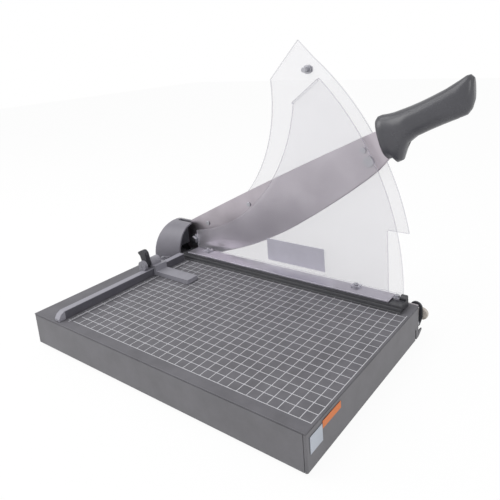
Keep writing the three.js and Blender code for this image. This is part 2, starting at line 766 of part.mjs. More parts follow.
const screwHeads = [4.2, 7.2];
bladeScrewPlaces.forEach((place, i) => {
  add(['blade_screw_upper', 'blade_screw_lower'][i], join(
    armRod(screwHeads[i], place, -2.2, washerBack, 24),
    armRod(2.2, place, -1, tangBack + gap + 1),
    armRod(4, place, tangBack + gap, tangBack + gap + 2.4, 6),
  ), zincSteel, arm);
});
rivetPlaces.forEach((place, i) => {
  add(`blade_rivet_${i + 1}`, join(
    armRod(3.6, place, washerBack - 1.2, washerBack),
    armRod(2.2, place, washerBack - 0.5, bladeBack + gap + 0.5),
    armRod(3.6, place, bladeBack + gap, bladeBack + gap + 1),
  ), zincSteel, arm);
});

// grip: slanted ribs, each an oval from its upper to its under point, with half its depth;
// x is counted from the blade's end
const ribs = [
  { top: [0, 26], under: [-7, -10], half: 8 },
  { top: [0.5, 31], under: [-9.5, -16], half: 11 },
  { top: [5, 33.4], under: [-7.5, -20], half: 12.5 },
  { top: [11, 32.6], under: [-2, -20.4], half: 13 },
  { top: [17, 30.6], under: [1.5, -28.2], half: 13.4 },
  { top: [26, 28.4], under: [9, -28.4], half: 14 },
  { top: [38, 26.8], under: [17, -20], half: 14.6 },
  { top: [49, 25.5], under: [26, -12.8], half: 15 },
  { top: [61, 24.5], under: [39, -10], half: 15 },
  { top: [77, 23.8], under: [57, -10.4], half: 15 },
  { top: [95, 23.6], under: [75, -11.4], half: 15 },
  { top: [112, 24.8], under: [92, -12.8], half: 14.4 },
  { top: [121, 25.8], under: [103, -13.4], half: 12.6 },
  { top: [126, 24.6], under: [110, -10], half: 9.4 },
  { top: [128, 20], under: [117, -3], half: 5 },
];
const gripMiddle = tangFront;
const ribPoints = 28;
const ribPower = 2.3;
const gripSkin = loft(ribs.map(({ top, under, half }) => {
  const ring = [];
  for (let i = 0; i < ribPoints; i += 1) {
    const angle = 2 * Math.PI * i / ribPoints;
    const up = Math.sign(Math.sin(angle)) * Math.abs(Math.sin(angle)) ** (2 / ribPower);
    const side = Math.sign(Math.cos(angle)) * Math.abs(Math.cos(angle)) ** (2 / ribPower);
    const rise = (up + 1) / 2;
    ring.push(new THREE.Vector3(
      bladeEnd + under[0] + (top[0] - under[0]) * rise,
      gripMiddle - half * side,
      under[1] + (top[1] - under[1]) * rise,
    ));
  }
  return ring;
}));
const tangSlot = block(bladeEnd - 19, tangEnd + 1, tangFront - gap, tangBack + gap, -14, 15);
const bladeSocket = block(bladeEnd - 19, bladeEnd + 1, bladeFront - gap, tangFront, -40, 20);
const gripSplit = gripMiddle - gap / 2;
const counterboreStart = gripMiddle + 11;
const screwHeadHeight = 2;
const gripScrewPlaces = gripScrewXs.map((x) => [x, gripScrewZ]);
const gripRoom = [bladeEnd - 50, bladeEnd + 200];
const frontHalf = keep(gripSkin, block(...gripRoom, -40, gripSplit - gap / 2, -60, 60));
const rearHalf = keep(gripSkin, block(...gripRoom, gripSplit + gap / 2, 60, -60, 60));
const gripScrewTip = gripMiddle - 9;
add('handle_front', cut(
  frontHalf,
  bladeSocket,
  ...gripScrewPlaces.map((place) => armRod(2.2, place, gripScrewTip - gap, 20)),
), handlePlastic, arm);
add('handle_rear', cut(
  rearHalf,
  tangSlot,
  bladeSocket,
  ...gripScrewPlaces.map((place) => armRod(2.2, place, -20, 40)),
  ...gripScrewPlaces.map((place) => armRod(4.2, place, counterboreStart, 40)),
), handlePlastic, arm);
gripScrewPlaces.forEach((place, i) => {
  const seat = counterboreStart + gap;
  add(`handle_screw_${i + 1}`, join(
    armRod(3.8, place, seat, seat + screwHeadHeight),
    armRod(1.9, place, gripScrewTip, seat + 1),
  ), zincSteel, arm);
});

// ---------- sliding paper stop on the fence ----------

const saddleLeft = fenceLeft - 8;
const saddleRight = fenceLeft + fenceWidth + 5;
const saddleFront = stopFront - 1;
const saddleTop = fenceHeight + 4.5;
const slide = 0.5;
const hubX = saddleLeft + 8.5;
const hubZ = fenceHeight + 6.5;
const hubRadius = 8;
const hubFront = saddleFront - 14;
const leverWidth = 8;
const leverFront = hubFront + 5.5;
const axleRadius = 2;
const channel = block(
  fenceLeft - slide, fenceLeft + fenceWidth + slide,
  -400, 100, -5, fenceHeight + slide,
);
const axleHole = rodY(axleRadius + holeClearance, hubX, hubZ, hubFront - 1, saddleFront + 7, 16);
const stopBody = cut(
  join(
    block(saddleLeft, saddleRight, saddleFront, stopRear + 1, gap + 0.3, saddleTop),
    block(saddleRight - 1, stopReach, stopFront, stopRear, gap + 0.3, gap + 0.3 + stopThickness),
    rodY(hubRadius, hubX, hubZ, hubFront, leverFront - gap, 28),
    rodY(hubRadius, hubX, hubZ, leverFront + leverWidth + gap, stopRear - 4, 28),
    block(saddleLeft, saddleLeft + 4, hubFront + 1, saddleFront + 1, gap + 0.3, hubZ - 6),
  ),
  channel,
  axleHole,
);
add('paper_stop', stopBody, stopPlastic);
add('stop_axle', rodY(axleRadius, hubX, hubZ, hubFront + gap, saddleFront + 6, 16), zincSteel);
const leverShape = outline([
  [-5.5, -3], [-2, -5.4], [3, -5], [6, -1], [5.6, 6],
  [5, 13], [3, 20], [-1.5, 23.4], [-6, 22.6], [-13, 19], [-12.6, 16.8], [-9, 14], [-7, 8],
]);
add('stop_lever', cut(
  plate(leverShape, leverFront, leverFront + leverWidth).translate(hubX, 0, hubZ),
  axleHole,
), blackPlastic);

// ---------- safety latch at the right rear corner ----------

const hookRadius = 8.4;
const hookWidth = 4;
const hookX = latchX + 0.8;
const hookZ = latchZ + 20;
const hookShape = new THREE.Shape();
hookShape.moveTo(hookX + hookRadius, hookZ);
hookShape.absarc(hookX, hookZ, hookRadius, 0, THREE.MathUtils.degToRad(165), false);
hookShape.absarc(hookX, hookZ, hookRadius - hookWidth, THREE.MathUtils.degToRad(165), 0, true);
hookShape.lineTo(hookX + hookRadius - hookWidth - 1, latchZ + 6);
hookShape.lineTo(latchX - 4, latchZ + 6);
hookShape.absarc(latchX, latchZ, 7, THREE.MathUtils.degToRad(125), THREE.MathUtils.degToRad(-40), false);
hookShape.lineTo(hookX + hookRadius, latchZ + 8);
const hookBack = latchFront + latchThickness;
add('latch_hook', cut(
  plate(hookShape, latchFront, hookBack, 14),
  rodY(latchPinRadius + holeClearance, latchX, latchZ, 0, 40, 16),
), blackPaint);
const knobRadius = 8.2;
const knobFront = hookBack + gap;
add('latch_knob', rodY(knobRadius, latchX + 7, latchZ + 11, knobFront, knobFront + 5, 28), knobPlastic);
add('latch_pin', join(
  rodY(6, latchX, latchZ, wallInside - gap - 3, wallInside - gap, 6),
  rodY(latchPinRadius, latchX, latchZ, wallInside - 1, hookBack + gap + 0.5, 16),
  rodY(6, latchX, latchZ, boardRear + gap, latchFront - gap, 20),
  rodY(4.4, latchX, latchZ, hookBack + gap, hookBack + gap + 2, 16),
), zincSteel);

// ---------- plain stickers on the right side ----------

const stickerX = boardLength + gap;
const sticker = (front, rear, bottom, top) =>
  block(stickerX, stickerX + stickerThickness, boardFront + front, boardFront + rear, bottom, top);
add('side_label', sticker(6, 27.3, -25.4, -7.5), labelGrey);
add('side_strip', sticker(28, 62, -13.4, -5.6), labelOrange);

// ---------- the cutter on its own origin ----------

cutter.updateMatrixWorld(true);
const bounds = new THREE.Box3().setFromObject(cutter, true);
const footprint = bounds.getCenter(new THREE.Vector3());
cutter.position.set(-footprint.x, -footprint.y, -bounds.min.z);

const group = new THREE.Group();
group.add(cutter);
export default group;
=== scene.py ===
# A guillotine paper cutter on a pale table, put together in the order of the real one: the
# tray and its board, the fence and its stop, the pivot, the clamp and its guards, the arm,
# and the latch. Lengths are metres, x runs along the cut, y runs back and z runs up.

import math

import bpy
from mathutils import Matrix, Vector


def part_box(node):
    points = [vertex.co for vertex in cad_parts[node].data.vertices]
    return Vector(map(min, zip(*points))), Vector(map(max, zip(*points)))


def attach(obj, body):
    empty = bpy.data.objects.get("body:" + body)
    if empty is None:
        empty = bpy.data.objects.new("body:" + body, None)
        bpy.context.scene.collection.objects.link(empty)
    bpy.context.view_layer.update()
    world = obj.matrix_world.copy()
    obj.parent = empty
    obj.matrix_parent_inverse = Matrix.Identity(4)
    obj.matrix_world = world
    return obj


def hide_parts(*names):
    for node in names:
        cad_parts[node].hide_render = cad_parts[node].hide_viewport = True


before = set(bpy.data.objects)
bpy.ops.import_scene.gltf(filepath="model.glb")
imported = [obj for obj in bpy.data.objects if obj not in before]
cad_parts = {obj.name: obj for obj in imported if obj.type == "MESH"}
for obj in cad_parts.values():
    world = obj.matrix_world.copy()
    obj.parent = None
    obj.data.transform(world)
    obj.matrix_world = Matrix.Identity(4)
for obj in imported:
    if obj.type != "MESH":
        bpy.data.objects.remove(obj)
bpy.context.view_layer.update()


# ---------- camera, table and light ----------
# The cutter stands on a pale table in a soft studio. The camera is at a standing person's
# height, off its right front corner, and looks a little down along the cut.

bpy.ops.object.camera_add(
    location=(0.4200, -0.4766, 0.3821),
    rotation=[math.radians(turn) for turn in (76.415, 3.654, 35.735)],
)
camera = bpy.context.object
camera.data.sensor_width = 36
camera.data.lens = 38.17
camera.data.shift_x = -0.0582
camera.data.shift_y = -0.1586
camera.data.clip_start = 0.01
bpy.context.scene.camera = camera
bpy.context.scene.view_settings.view_transform = "Standard"


def add_node(tree, kind, **settings):
    node = tree.nodes.new(kind)
    for name, value in settings.items():
        if name in node.inputs:
            node.inputs[name].default_value = value
        else:
            setattr(node, name, value)
    return node


def seen_straight(tree):
    """One for what the camera sees, in the open, in a reflection or through a clear sheet."""
    path = tree.nodes.new("ShaderNodeLightPath")
    first = add_node(tree, "ShaderNodeMath", operation="MAXIMUM")
    tree.links.new(path.outputs["Is Camera Ray"], first.inputs[0])
    tree.links.new(path.outputs["Is Glossy Ray"], first.inputs[1])
    both = add_node(tree, "ShaderNodeMath", operation="MAXIMUM")
    tree.links.new(first.outputs[0], both.inputs[0])
    tree.links.new(path.outputs["Is Transmission Ray"], both.inputs[1])
    return both.outputs[0]


world = bpy.data.worlds.new("studio")
bpy.context.scene.world = world
world.use_nodes = True
sky = world.node_tree
sky.nodes.clear()
sky_light = add_node(sky, "ShaderNodeBackground", Color=(1, 1, 1, 1), Strength=0.62)
sky_seen = add_node(sky, "ShaderNodeBackground", Color=(1, 1, 1, 1), Strength=1.0)
sky_mix = sky.nodes.new("ShaderNodeMixShader")
sky_out = sky.nodes.new("ShaderNodeOutputWorld")
sky.links.new(seen_straight(sky), sky_mix.inputs[0])
sky.links.new(sky_light.outputs[0], sky_mix.inputs[1])
sky.links.new(sky_seen.outputs[0], sky_mix.inputs[2])
sky.links.new(sky_mix.outputs[0], sky_out.inputs["Surface"])

lamps = {
    "over_the_board": {"place": (-0.5, -0.4, 1.5), "size": 1.1, "watts": 9},
    "from_the_left": {"place": (-1.4, -0.9, 0.9), "size": 0.9, "watts": 9},
    "from_the_right": {"place": (1.5, -0.3, 0.7), "size": 0.8, "watts": 4},
}
for lamp_name, lamp in lamps.items():
    bpy.ops.object.light_add(type="AREA", location=lamp["place"])
    light = bpy.context.object
    light.name = lamp_name
    light.data.size = lamp["size"]
    light.data.energy = lamp["watts"]
    light.rotation_euler = (-light.location).to_track_quat("-Z", "Y").to_euler()

bpy.ops.mesh.primitive_plane_add(size=8, location=(0, 0, -0.0005))
table = bpy.context.object
table.name = "table_top"
table_paint = bpy.data.materials.new("table_white")
table_paint.use_nodes = True
paint_tree = table_paint.node_tree
paint = paint_tree.nodes["Principled BSDF"]
paint.inputs["Base Color"].default_value = (0.95, 0.95, 0.95, 1)
paint.inputs["Roughness"].default_value = 0.9
paint_glow = add_node(paint_tree, "ShaderNodeEmission", Color=(1, 1, 1, 1), Strength=1.0)
paint_mix = paint_tree.nodes.new("ShaderNodeMixShader")
glow_share = add_node(paint_tree, "ShaderNodeMath", operation="MULTIPLY")
glow_share.inputs[1].default_value = 0.94
paint_tree.links.new(seen_straight(paint_tree), glow_share.inputs[0])
paint_tree.links.new(glow_share.outputs[0], paint_mix.inputs[0])
paint_tree.links.new(paint.outputs[0], paint_mix.inputs[1])
paint_tree.links.new(paint_glow.outputs[0], paint_mix.inputs[2])
paint_tree.links.new(paint_mix.outputs[0], paint_tree.nodes["Material Output"].inputs["Surface"])
table.data.materials.append(table_paint)


# ---------- the tray ----------
# The base is a tray folded from 1.6 mm steel sheet and powder coated charcoal: four walls
# with a flange turned in under them. A front panel is let in at the right corner, and the
# right wall has a slot and a tab at its rear end that the latch is set up against.

board_low, board_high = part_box("board_plate")
tray_low, tray_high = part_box("base_shell")
board_top = board_high.z
sheet = 0.0016


def colour_of(written):
    """The linear colour of a shade that is written as #rrggbb."""
    parts = [int(written[i:i + 2], 16) / 255 for i in (1, 3, 5)]
    linear = [c / 12.92 if c <= 0.04045 else ((c + 0.055) / 1.055) ** 2.4 for c in parts]
    return (*linear, 1)


def coated(name, shade, roughness, grain=900, depth=0.00003, cloud=0.12, metallic=0.0, **more):
    """A coat or a moulded skin: one shade with faint clouds, and a fine grain in relief."""
    material = bpy.data.materials.new(name)
    material.use_nodes = True
    tree = material.node_tree
    skin = tree.nodes["Principled BSDF"]
    place = tree.nodes.new("ShaderNodeTexCoord").outputs["Object"]
    clouds = add_node(tree, "ShaderNodeTexNoise", Scale=38.0, Detail=4.0, Roughness=0.6)
    tree.links.new(place, clouds.inputs["Vector"])
    shades = tree.nodes.new("ShaderNodeValToRGB")
    base = colour_of(shade)
    for stop, level in zip(shades.color_ramp.elements, (1 - cloud, 1 + cloud)):
        stop.color = (*[min(1, level * c) for c in base[:3]], 1)
    shades.color_ramp.elements[0].position = 0.3
    shades.color_ramp.elements[1].position = 0.7
    tree.links.new(clouds.outputs["Fac"], shades.inputs["Fac"])
    tree.links.new(shades.outputs["Color"], skin.inputs["Base Color"])
    wear = add_node(tree, "ShaderNodeMapRange")
    wear.inputs["To Min"].default_value = roughness * 0.88
    wear.inputs["To Max"].default_value = roughness * 1.12
    tree.links.new(clouds.outputs["Fac"], wear.inputs["Value"])
    tree.links.new(wear.outputs["Result"], skin.inputs["Roughness"])
    pimples = add_node(tree, "ShaderNodeTexNoise", Scale=grain, Detail=2.0, Roughness=0.5)
    tree.links.new(place, pimples.inputs["Vector"])
    relief = add_node(tree, "ShaderNodeBump", Strength=0.5, Distance=depth)
    tree.links.new(pimples.outputs["Fac"], relief.inputs["Height"])
    tree.links.new(relief.outputs["Normal"], skin.inputs["Normal"])
    skin.inputs["Metallic"].default_value = metallic
    for socket, value in more.items():
        skin.inputs[socket].default_value = value
    return material


def lone(piece):
    """Makes one piece the only thing that the next tool works on."""
    bpy.ops.object.select_all(action="DESELECT")
    piece.select_set(True)
    bpy.context.view_layer.objects.active = piece


def block(name, low, high):
    """A squared block between two corners, with its place in its mesh."""
    bpy.ops.object.select_all(action="DESELECT")
    middle = [(a + b) / 2 for a, b in zip(low, high)]
    bpy.ops.mesh.primitive_cube_add(size=1, location=middle)
    piece = bpy.context.object
    piece.name = name
    piece.scale = [b - a for a, b in zip(low, high)]
    bpy.ops.object.transform_apply(location=True, rotation=True, scale=True)
    return piece


def select_faces(piece, wanted):
    """In edit mode, selects the faces whose centre and normal pass the test."""
    unselect(piece, (False, False, True))
    for face in piece.data.polygons:
        face.select = bool(wanted(face.center, face.normal))
    bpy.ops.object.mode_set(mode="EDIT")


def select_edges(piece, wanted):
    """In edit mode, selects the edges whose two ends pass the test."""
    unselect(piece, (False, True, False))
    points = [vertex.co for vertex in piece.data.vertices]
    for edge in piece.data.edges:
        edge.select = bool(wanted(*[points[i] for i in edge.vertices]))
    bpy.ops.object.mode_set(mode="EDIT")


def unselect(piece, mode):
    """Clears what is selected on a piece, and leaves it out of edit mode."""
    if bpy.context.mode != "OBJECT":
        bpy.ops.object.mode_set(mode="OBJECT")
    lone(piece)
    bpy.context.tool_settings.mesh_select_mode = mode
    bpy.ops.object.mode_set(mode="EDIT")
    bpy.ops.mesh.select_all(action="DESELECT")
    bpy.ops.object.mode_set(mode="OBJECT")


def apply_modifier(piece, kind, **settings):
    lone(piece)
    modifier = piece.modifiers.new(kind.lower(), kind)
    for name, value in settings.items():
        setattr(modifier, name, value)
    bpy.ops.object.modifier_apply(modifier=modifier.name)


def carve(piece, *tools, operation="DIFFERENCE"):
    """Cuts each tool out of the piece, or melts it in, and clears the tool away."""
    for tool in tools:
        apply_modifier(piece, "BOOLEAN", object=tool, operation=operation, solver="MANIFOLD")
        bpy.data.objects.remove(tool)


def soften(piece, width, segments=3, angle=35):
    """Rounds every sharp edge, then shades the curves smooth and the flats flat."""
    apply_modifier(
        piece, "BEVEL", width=width, segments=segments, limit_method="ANGLE",
        angle_limit=math.radians(angle), miter_outer="MITER_ARC",
    )
    lone(piece)
    bpy.ops.object.shade_smooth_by_angle(angle=math.radians(angle))
    apply_modifier(piece, "WEIGHTED_NORMAL", keep_sharp=True, weight=80)


def finish(piece, material, body, slot, *nodes):
    """Gives a piece its one finish, the body it moves with and the nodes it stands for."""
    piece.data.materials.clear()
    piece.data.materials.append(material)
    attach(piece, body)
    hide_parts(*nodes)


tray_paint = coated("tray_powder_coat", "#67666a", 0.5, grain=1500, depth=0.00004)
flange = 0.022
corner = 0.0022
tray = block("tray", (board_low.x, board_low.y, tray_low.z), (board_high.x, board_high.y, tray_high.z))
select_faces(tray, lambda centre, normal: normal.z < -0.9)
bpy.ops.mesh.inset(thickness=flange)
bpy.ops.mesh.delete(type="FACE")
select_edges(tray, lambda a, b: abs(a.x - b.x) < 1e-5 and abs(a.y - b.y) < 1e-5)
bpy.ops.mesh.bevel(offset=corner, segments=5)
bpy.ops.object.mode_set(mode="OBJECT")
apply_modifier(tray, "SOLIDIFY", thickness=sheet, offset=-1, use_even_offset=True)
seam_width = 0.0007
seam_x = board_high.x - 0.0026
slot_y = board_high.y - 0.0106
carve(
    tray,
    block("seam", (seam_x - seam_width, board_low.y - 0.001, 0), (seam_x, board_low.y + 0.0009, 0.05)),
    block("slot", (board_high.x - 0.006, slot_y - 0.0016, 0), (board_high.x + 0.001, slot_y + 0.0016, 0.018)),
)
tab = block(
    "tab",
    (board_high.x - sheet, board_high.y - 0.0008, tray_low.z + 0.0004),
    (board_high.x, tray_high.y, tray_low.z + 0.0078),
)
select_faces(tab, lambda centre, normal: normal.y > 0.9)
bpy.ops.transform.resize(value=(1, 1, 0.3))
bpy.ops.transform.translate(value=(0, 0, 0.0022))
bpy.ops.object.mode_set(mode="OBJECT")
carve(tray, tab, operation="UNION")
soften(tray, 0.0004, segments=2)
finish(tray, tray_paint, "base", "body_paint", "base_shell")

# Two hat-shaped stiffeners are welded across the tray's inside and share its coat, and four
# rubber feet are pressed into its flanges.
for name in ("stiffener_front", "stiffener_rear"):
    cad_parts[name].data.materials.clear()
    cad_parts[name].data.materials.append(tray_paint)

foot_rubber = coated("foot_rubber", "#232325", 0.8, grain=2600, depth=0.00005, cloud=0.2)
for name in ("foot_front_left", "foot_front_right", "foot_rear_left", "foot_rear_right"):
    low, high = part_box(name)
    bpy.ops.object.select_all(action="DESELECT")
    bpy.ops.mesh.primitive_cylinder_add(
        vertices=48, radius=(high.x - low.x) / 2, depth=high.z - low.z,
        location=((low.x + high.x) / 2, (low.y + high.y) / 2, (low.z + high.z) / 2),
    )
    foot = bpy.context.object
    foot.name = name + "_pad"
    bpy.ops.object.transform_apply(location=True)
    select_faces(foot, lambda centre, normal: normal.z < -0.9)
    bpy.ops.mesh.inset(thickness=0.0032)
    bpy.ops.transform.translate(value=(0, 0, 0.0006))
    bpy.ops.object.mode_set(mode="OBJECT")
    soften(foot, 0.0005)
    finish(foot, foot_rubber, "base", "rubber", name)


# ---------- the board ----------
# A 1.5 mm steel plate lies on the tray. Its coat is a little rougher than the tray's, and a
# half-inch grid and the scale beside the fence are screen printed on it in pale grey.

inch = 0.0254
square = inch / 2
cut_y = board_high.y + 0.0034
grid_left = board_low.x + 0.08026
grid_right = grid_left + 28 * square
grid_front = cut_y - 20 * square
grid_rear = cut_y - 3 * square
row_left = grid_left - 0.0115
scale_right = grid_left - 0.0165


def compare(tree, kind, value, limit):
    test = add_node(tree, "ShaderNodeMath", operation=kind)
    tree.links.new(value, test.inputs[0])
    test.inputs[1].default_value = limit
    return test.outputs[0]


def together(tree, kind, *values):
    """Folds several values into one, such as their product or the largest."""
    result = values[0]
    for value in values[1:]:
        fold = add_node(tree, "ShaderNodeMath", operation=kind)
        tree.links.new(result, fold.inputs[0])
        tree.links.new(value, fold.inputs[1])
        result = fold.outputs[0]
    return result


def printed_lines(tree, along, first, pitch, width):
    """One on the lines that are ruled every pitch from the first, and nothing between."""
    counted = compare(tree, "SUBTRACT", along, first)
    steps = compare(tree, "DIVIDE", counted, pitch)
    away = compare(tree, "PINGPONG", steps, 0.5)
    return compare(tree, "LESS_THAN", away, width / pitch / 2)


def between(tree, along, low, high):
    above = compare(tree, "GREATER_THAN", along, low)
    below = compare(tree, "LESS_THAN", along, high)
    return together(tree, "MULTIPLY", above, below)


board_paint = coated("board_powder_coat", "#605f64", 0.62, grain=1100, depth=0.00007, cloud=0.16)
print_tree = board_paint.node_tree
print_place = print_tree.nodes.new("ShaderNodeTexCoord").outputs["Object"]
axes = print_tree.nodes.new("ShaderNodeSeparateXYZ")
print_tree.links.new(print_place, axes.inputs[0])
along_x, along_y, along_z = axes.outputs
line = 0.0008
on_face = compare(print_tree, "GREATER_THAN", along_z, board_top - 0.0003)
rows = together(
    print_tree, "MULTIPLY",
    printed_lines(print_tree, along_y, grid_front, square, line),
    between(print_tree, along_x, row_left, grid_right + line / 2),
    between(print_tree, along_y, grid_front - line, grid_rear + line),
)
columns = together(
    print_tree, "MULTIPLY",
    printed_lines(print_tree, along_x, grid_left, square, line),
    between(print_tree, along_x, grid_left - line, grid_right + line),
    between(print_tree, along_y, grid_front, grid_rear + 0.004),
)
short_ticks = together(
    print_tree, "MULTIPLY",
    printed_lines(print_tree, along_y, cut_y, inch / 8, 0.0005),
    between(print_tree, along_x, scale_right - 0.0032, scale_right),
    between(print_tree, along_y, grid_front - line, grid_rear),
)
long_ticks = together(
    print_tree, "MULTIPLY",
    printed_lines(print_tree, along_y, cut_y, square, 0.0007),
    between(print_tree, along_x, scale_right - 0.0058, scale_right),
    between(print_tree, along_y, grid_front - line, grid_rear),
)
scale_line = together(
    print_tree, "MULTIPLY",
    between(print_tree, along_x, scale_right - 0.0011, scale_right),
    between(print_tree, along_y, grid_front - 0.004, grid_rear),
)
ink = together(
    print_tree, "MULTIPLY", on_face,
    together(print_tree, "MAXIMUM", rows, columns, short_ticks, long_ticks, scale_line),
)
ink_wear = add_node(print_tree, "ShaderNodeTexNoise", Scale=420.0, Detail=3.0)
print_tree.links.new(print_place, ink_wear.inputs["Vector"])
ink_cover = add_node(print_tree, "ShaderNodeMapRange")
ink_cover.inputs["From Min"].default_value = 0.2
ink_cover.inputs["From Max"].default_value = 0.6
ink_cover.inputs["To Min"].default_value = 0.6
ink_cover.inputs["To Max"].default_value = 0.95
print_tree.links.new(ink_wear.outputs["Fac"], ink_cover.inputs["Value"])
ink_share = together(print_tree, "MULTIPLY", ink, ink_cover.outputs["Result"])
# A darker band between the scale and the grid is painted shadow: the fence's shadow on the board, painted
# into the coat's colour.
painted_fence_shadow = together(
    print_tree, "MULTIPLY", on_face,
    between(print_tree, along_x, scale_right, row_left - 0.0004),
    between(print_tree, along_y, grid_front - line, grid_rear),
)
board_skin = print_tree.nodes["Principled BSDF"]
coat_shade = board_skin.inputs["Base Color"].links[0].from_socket
fence_shadow_mix = add_node(print_tree, "ShaderNodeMix", data_type="RGBA")
fence_shadow_mix.inputs["B"].default_value = colour_of("#4b4a4f")
print_tree.links.new(painted_fence_shadow, fence_shadow_mix.inputs["Factor"])
print_tree.links.new(coat_shade, fence_shadow_mix.inputs["A"])
ink_mix = add_node(print_tree, "ShaderNodeMix", data_type="RGBA")
ink_mix.inputs["B"].default_value = colour_of("#cfcfd4")
print_tree.links.new(ink_share, ink_mix.inputs["Factor"])
print_tree.links.new(fence_shadow_mix.outputs["Result"], ink_mix.inputs["A"])
print_tree.links.new(ink_mix.outputs["Result"], board_skin.inputs["Base Color"])

plate = block("board", board_low, board_high)
soften(plate, 0.0006, segments=3)
finish(plate, board_paint, "base", "board_paint", "board_plate")


# The numbers beside the scale are screen printed in the same ink, one to each inch.
numeral_ink = coated("numeral_ink", "#cfcfd4", 0.6, grain=900, depth=0.00002, cloud=0.1)
for number in range(1, 10):
    bpy.ops.object.select_all(action="DESELECT")
    bpy.ops.object.text_add(location=(scale_right + 0.0008, cut_y - number * inch - 0.0014, board_top))
    numeral = bpy.context.object
    numeral.name = "scale_number_%d" % number
    numeral.data.body = str(number)
    numeral.data.size = 0.0042
    numeral.data.extrude = 0.00004
    bpy.ops.object.convert(target="MESH")
    bpy.ops.object.transform_apply(location=True)
    numeral.data.materials.clear()
    numeral.data.materials.append(numeral_ink)
    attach(numeral, "base")


# ---------- the bed knife ----------
# A ground steel bar is screwed to the tray's rear wall, flush with the board, and the blade
# shears against it. Its two screws go in from inside the tray.


def metal(name, shade, roughness, turn=0.0, drag=(6, 900, 900), depth=0.00002):
    """Bare or plated steel with fine scratches drawn out along the way it was finished."""
    material = bpy.data.materials.new(name)
    material.use_nodes = True
    tree = material.node_tree
    skin = tree.nodes["Principled BSDF"]
    place = tree.nodes.new("ShaderNodeTexCoord").outputs["Object"]
    lay = tree.nodes.new("ShaderNodeMapping")
    lay.inputs["Rotation"].default_value = (0, math.radians(turn), 0)
    lay.inputs["Scale"].default_value = drag
    tree.links.new(place, lay.inputs["Vector"])
    scratch = add_node(tree, "ShaderNodeTexNoise", Scale=1.0, Detail=3.0)
    tree.links.new(lay.outputs["Vector"], scratch.inputs["Vector"])
    cloud = add_node(tree, "ShaderNodeTexNoise", Scale=16.0, Detail=3.0)
    tree.links.new(place, cloud.inputs["Vector"])
    base = colour_of(shade)[:3]
    shades = tree.nodes.new("ShaderNodeValToRGB")
    shades.color_ramp.elements[0].color = (*[0.86 * c for c in base], 1)
    shades.color_ramp.elements[1].color = (*[min(1, 1.12 * c) for c in base], 1)
    shades.color_ramp.elements[0].position = 0.35
    shades.color_ramp.elements[1].position = 0.68
    tree.links.new(cloud.outputs["Fac"], shades.inputs["Fac"])
    tree.links.new(shades.outputs["Color"], skin.inputs["Base Color"])
    rub = add_node(tree, "ShaderNodeMapRange")
    rub.inputs["To Min"].default_value = roughness * 0.8
    rub.inputs["To Max"].default_value = roughness * 1.2
    tree.links.new(scratch.outputs["Fac"], rub.inputs["Value"])
    tree.links.new(rub.outputs["Result"], skin.inputs["Roughness"])
    relief = add_node(tree, "ShaderNodeBump", Strength=0.4, Distance=depth)
    tree.links.new(scratch.outputs["Fac"], relief.inputs["Height"])
    tree.links.new(relief.outputs["Normal"], skin.inputs["Normal"])
    skin.inputs["Metallic"].default_value = 1.0
    return material


def drawn_from(node, name):
    """A merged copy of a frame node, with the edges between its flat triangles dissolved."""
    lone(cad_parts[node])
    bpy.ops.object.duplicate()
    piece = bpy.context.object
    piece.name = name
    unselect(piece, (True, False, False))
    bpy.ops.object.mode_set(mode="EDIT")
    bpy.ops.mesh.select_all(action="SELECT")
    bpy.ops.mesh.remove_doubles(threshold=0.000002)
    bpy.ops.mesh.dissolve_limited(angle_limit=math.radians(1))
    bpy.ops.object.mode_set(mode="OBJECT")
    return piece


def edged(piece, width, segments=2, angle=35):
    """Breaks the edges of a piece whose outline has many corners, and shades it."""
    apply_modifier(
        piece, "BEVEL", width=width, segments=segments, limit_method="ANGLE",
        angle_limit=math.radians(angle), use_clamp_overlap=True,
    )
    lone(piece)
    bpy.ops.object.shade_smooth_by_angle(angle=math.radians(angle))
    apply_modifier(piece, "WEIGHTED_NORMAL", keep_sharp=True, weight=80)


knife_steel = metal("ground_knife_steel", "#a7a2a6", 0.32)
zinc = metal("zinc_plate", "#b4b4ba", 0.34, drag=(400, 400, 400), depth=0.00001)
knife = drawn_from("bed_knife", "shear_bar")
edged(knife, 0.0003)
finish(knife, knife_steel, "base", "blade_steel", "bed_knife")


def zinc_fittings(body, *names, width=0.0003, segments=2):
    """Plated screws, pins and washers, each drawn from its node with its edges broken."""
    for name in names:
        fitting = drawn_from(name, name + "_zinc")
        edged(fitting, width, segments)
        finish(fitting, zinc, body, "zinc_steel", name)


zinc_fittings("base", "bed_knife_screw_1", "bed_knife_screw_2", width=0.00025)


# ---------- the fence ----------
# A moulded bar stands square to the cut, and two screws hold it from under the board. Its
# sides are dark, and its top and its slanted nose are painted paler: a painted highlight
# where the light from above falls on one grey moulding.

fence_low, fence_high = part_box("fence")
fence_plastic = coated("fence_moulding", "#55545c", 0.5, grain=1200, depth=0.00003)
fence_tree = fence_plastic.node_tree
fence_axes = fence_tree.nodes.new("ShaderNodeSeparateXYZ")
fence_place = fence_tree.nodes.new("ShaderNodeTexCoord").outputs["Object"]
fence_tree.links.new(fence_place, fence_axes.inputs[0])
painted_highlight_faces = together(
    fence_tree, "MAXIMUM",
    compare(fence_tree, "GREATER_THAN", fence_axes.outputs[2], fence_high.z - 0.0007),
    compare(fence_tree, "LESS_THAN", fence_axes.outputs[1], fence_low.y + 0.0095),
)
fence_skin = fence_tree.nodes["Principled BSDF"]
fence_highlight_mix = add_node(fence_tree, "ShaderNodeMix", data_type="RGBA")
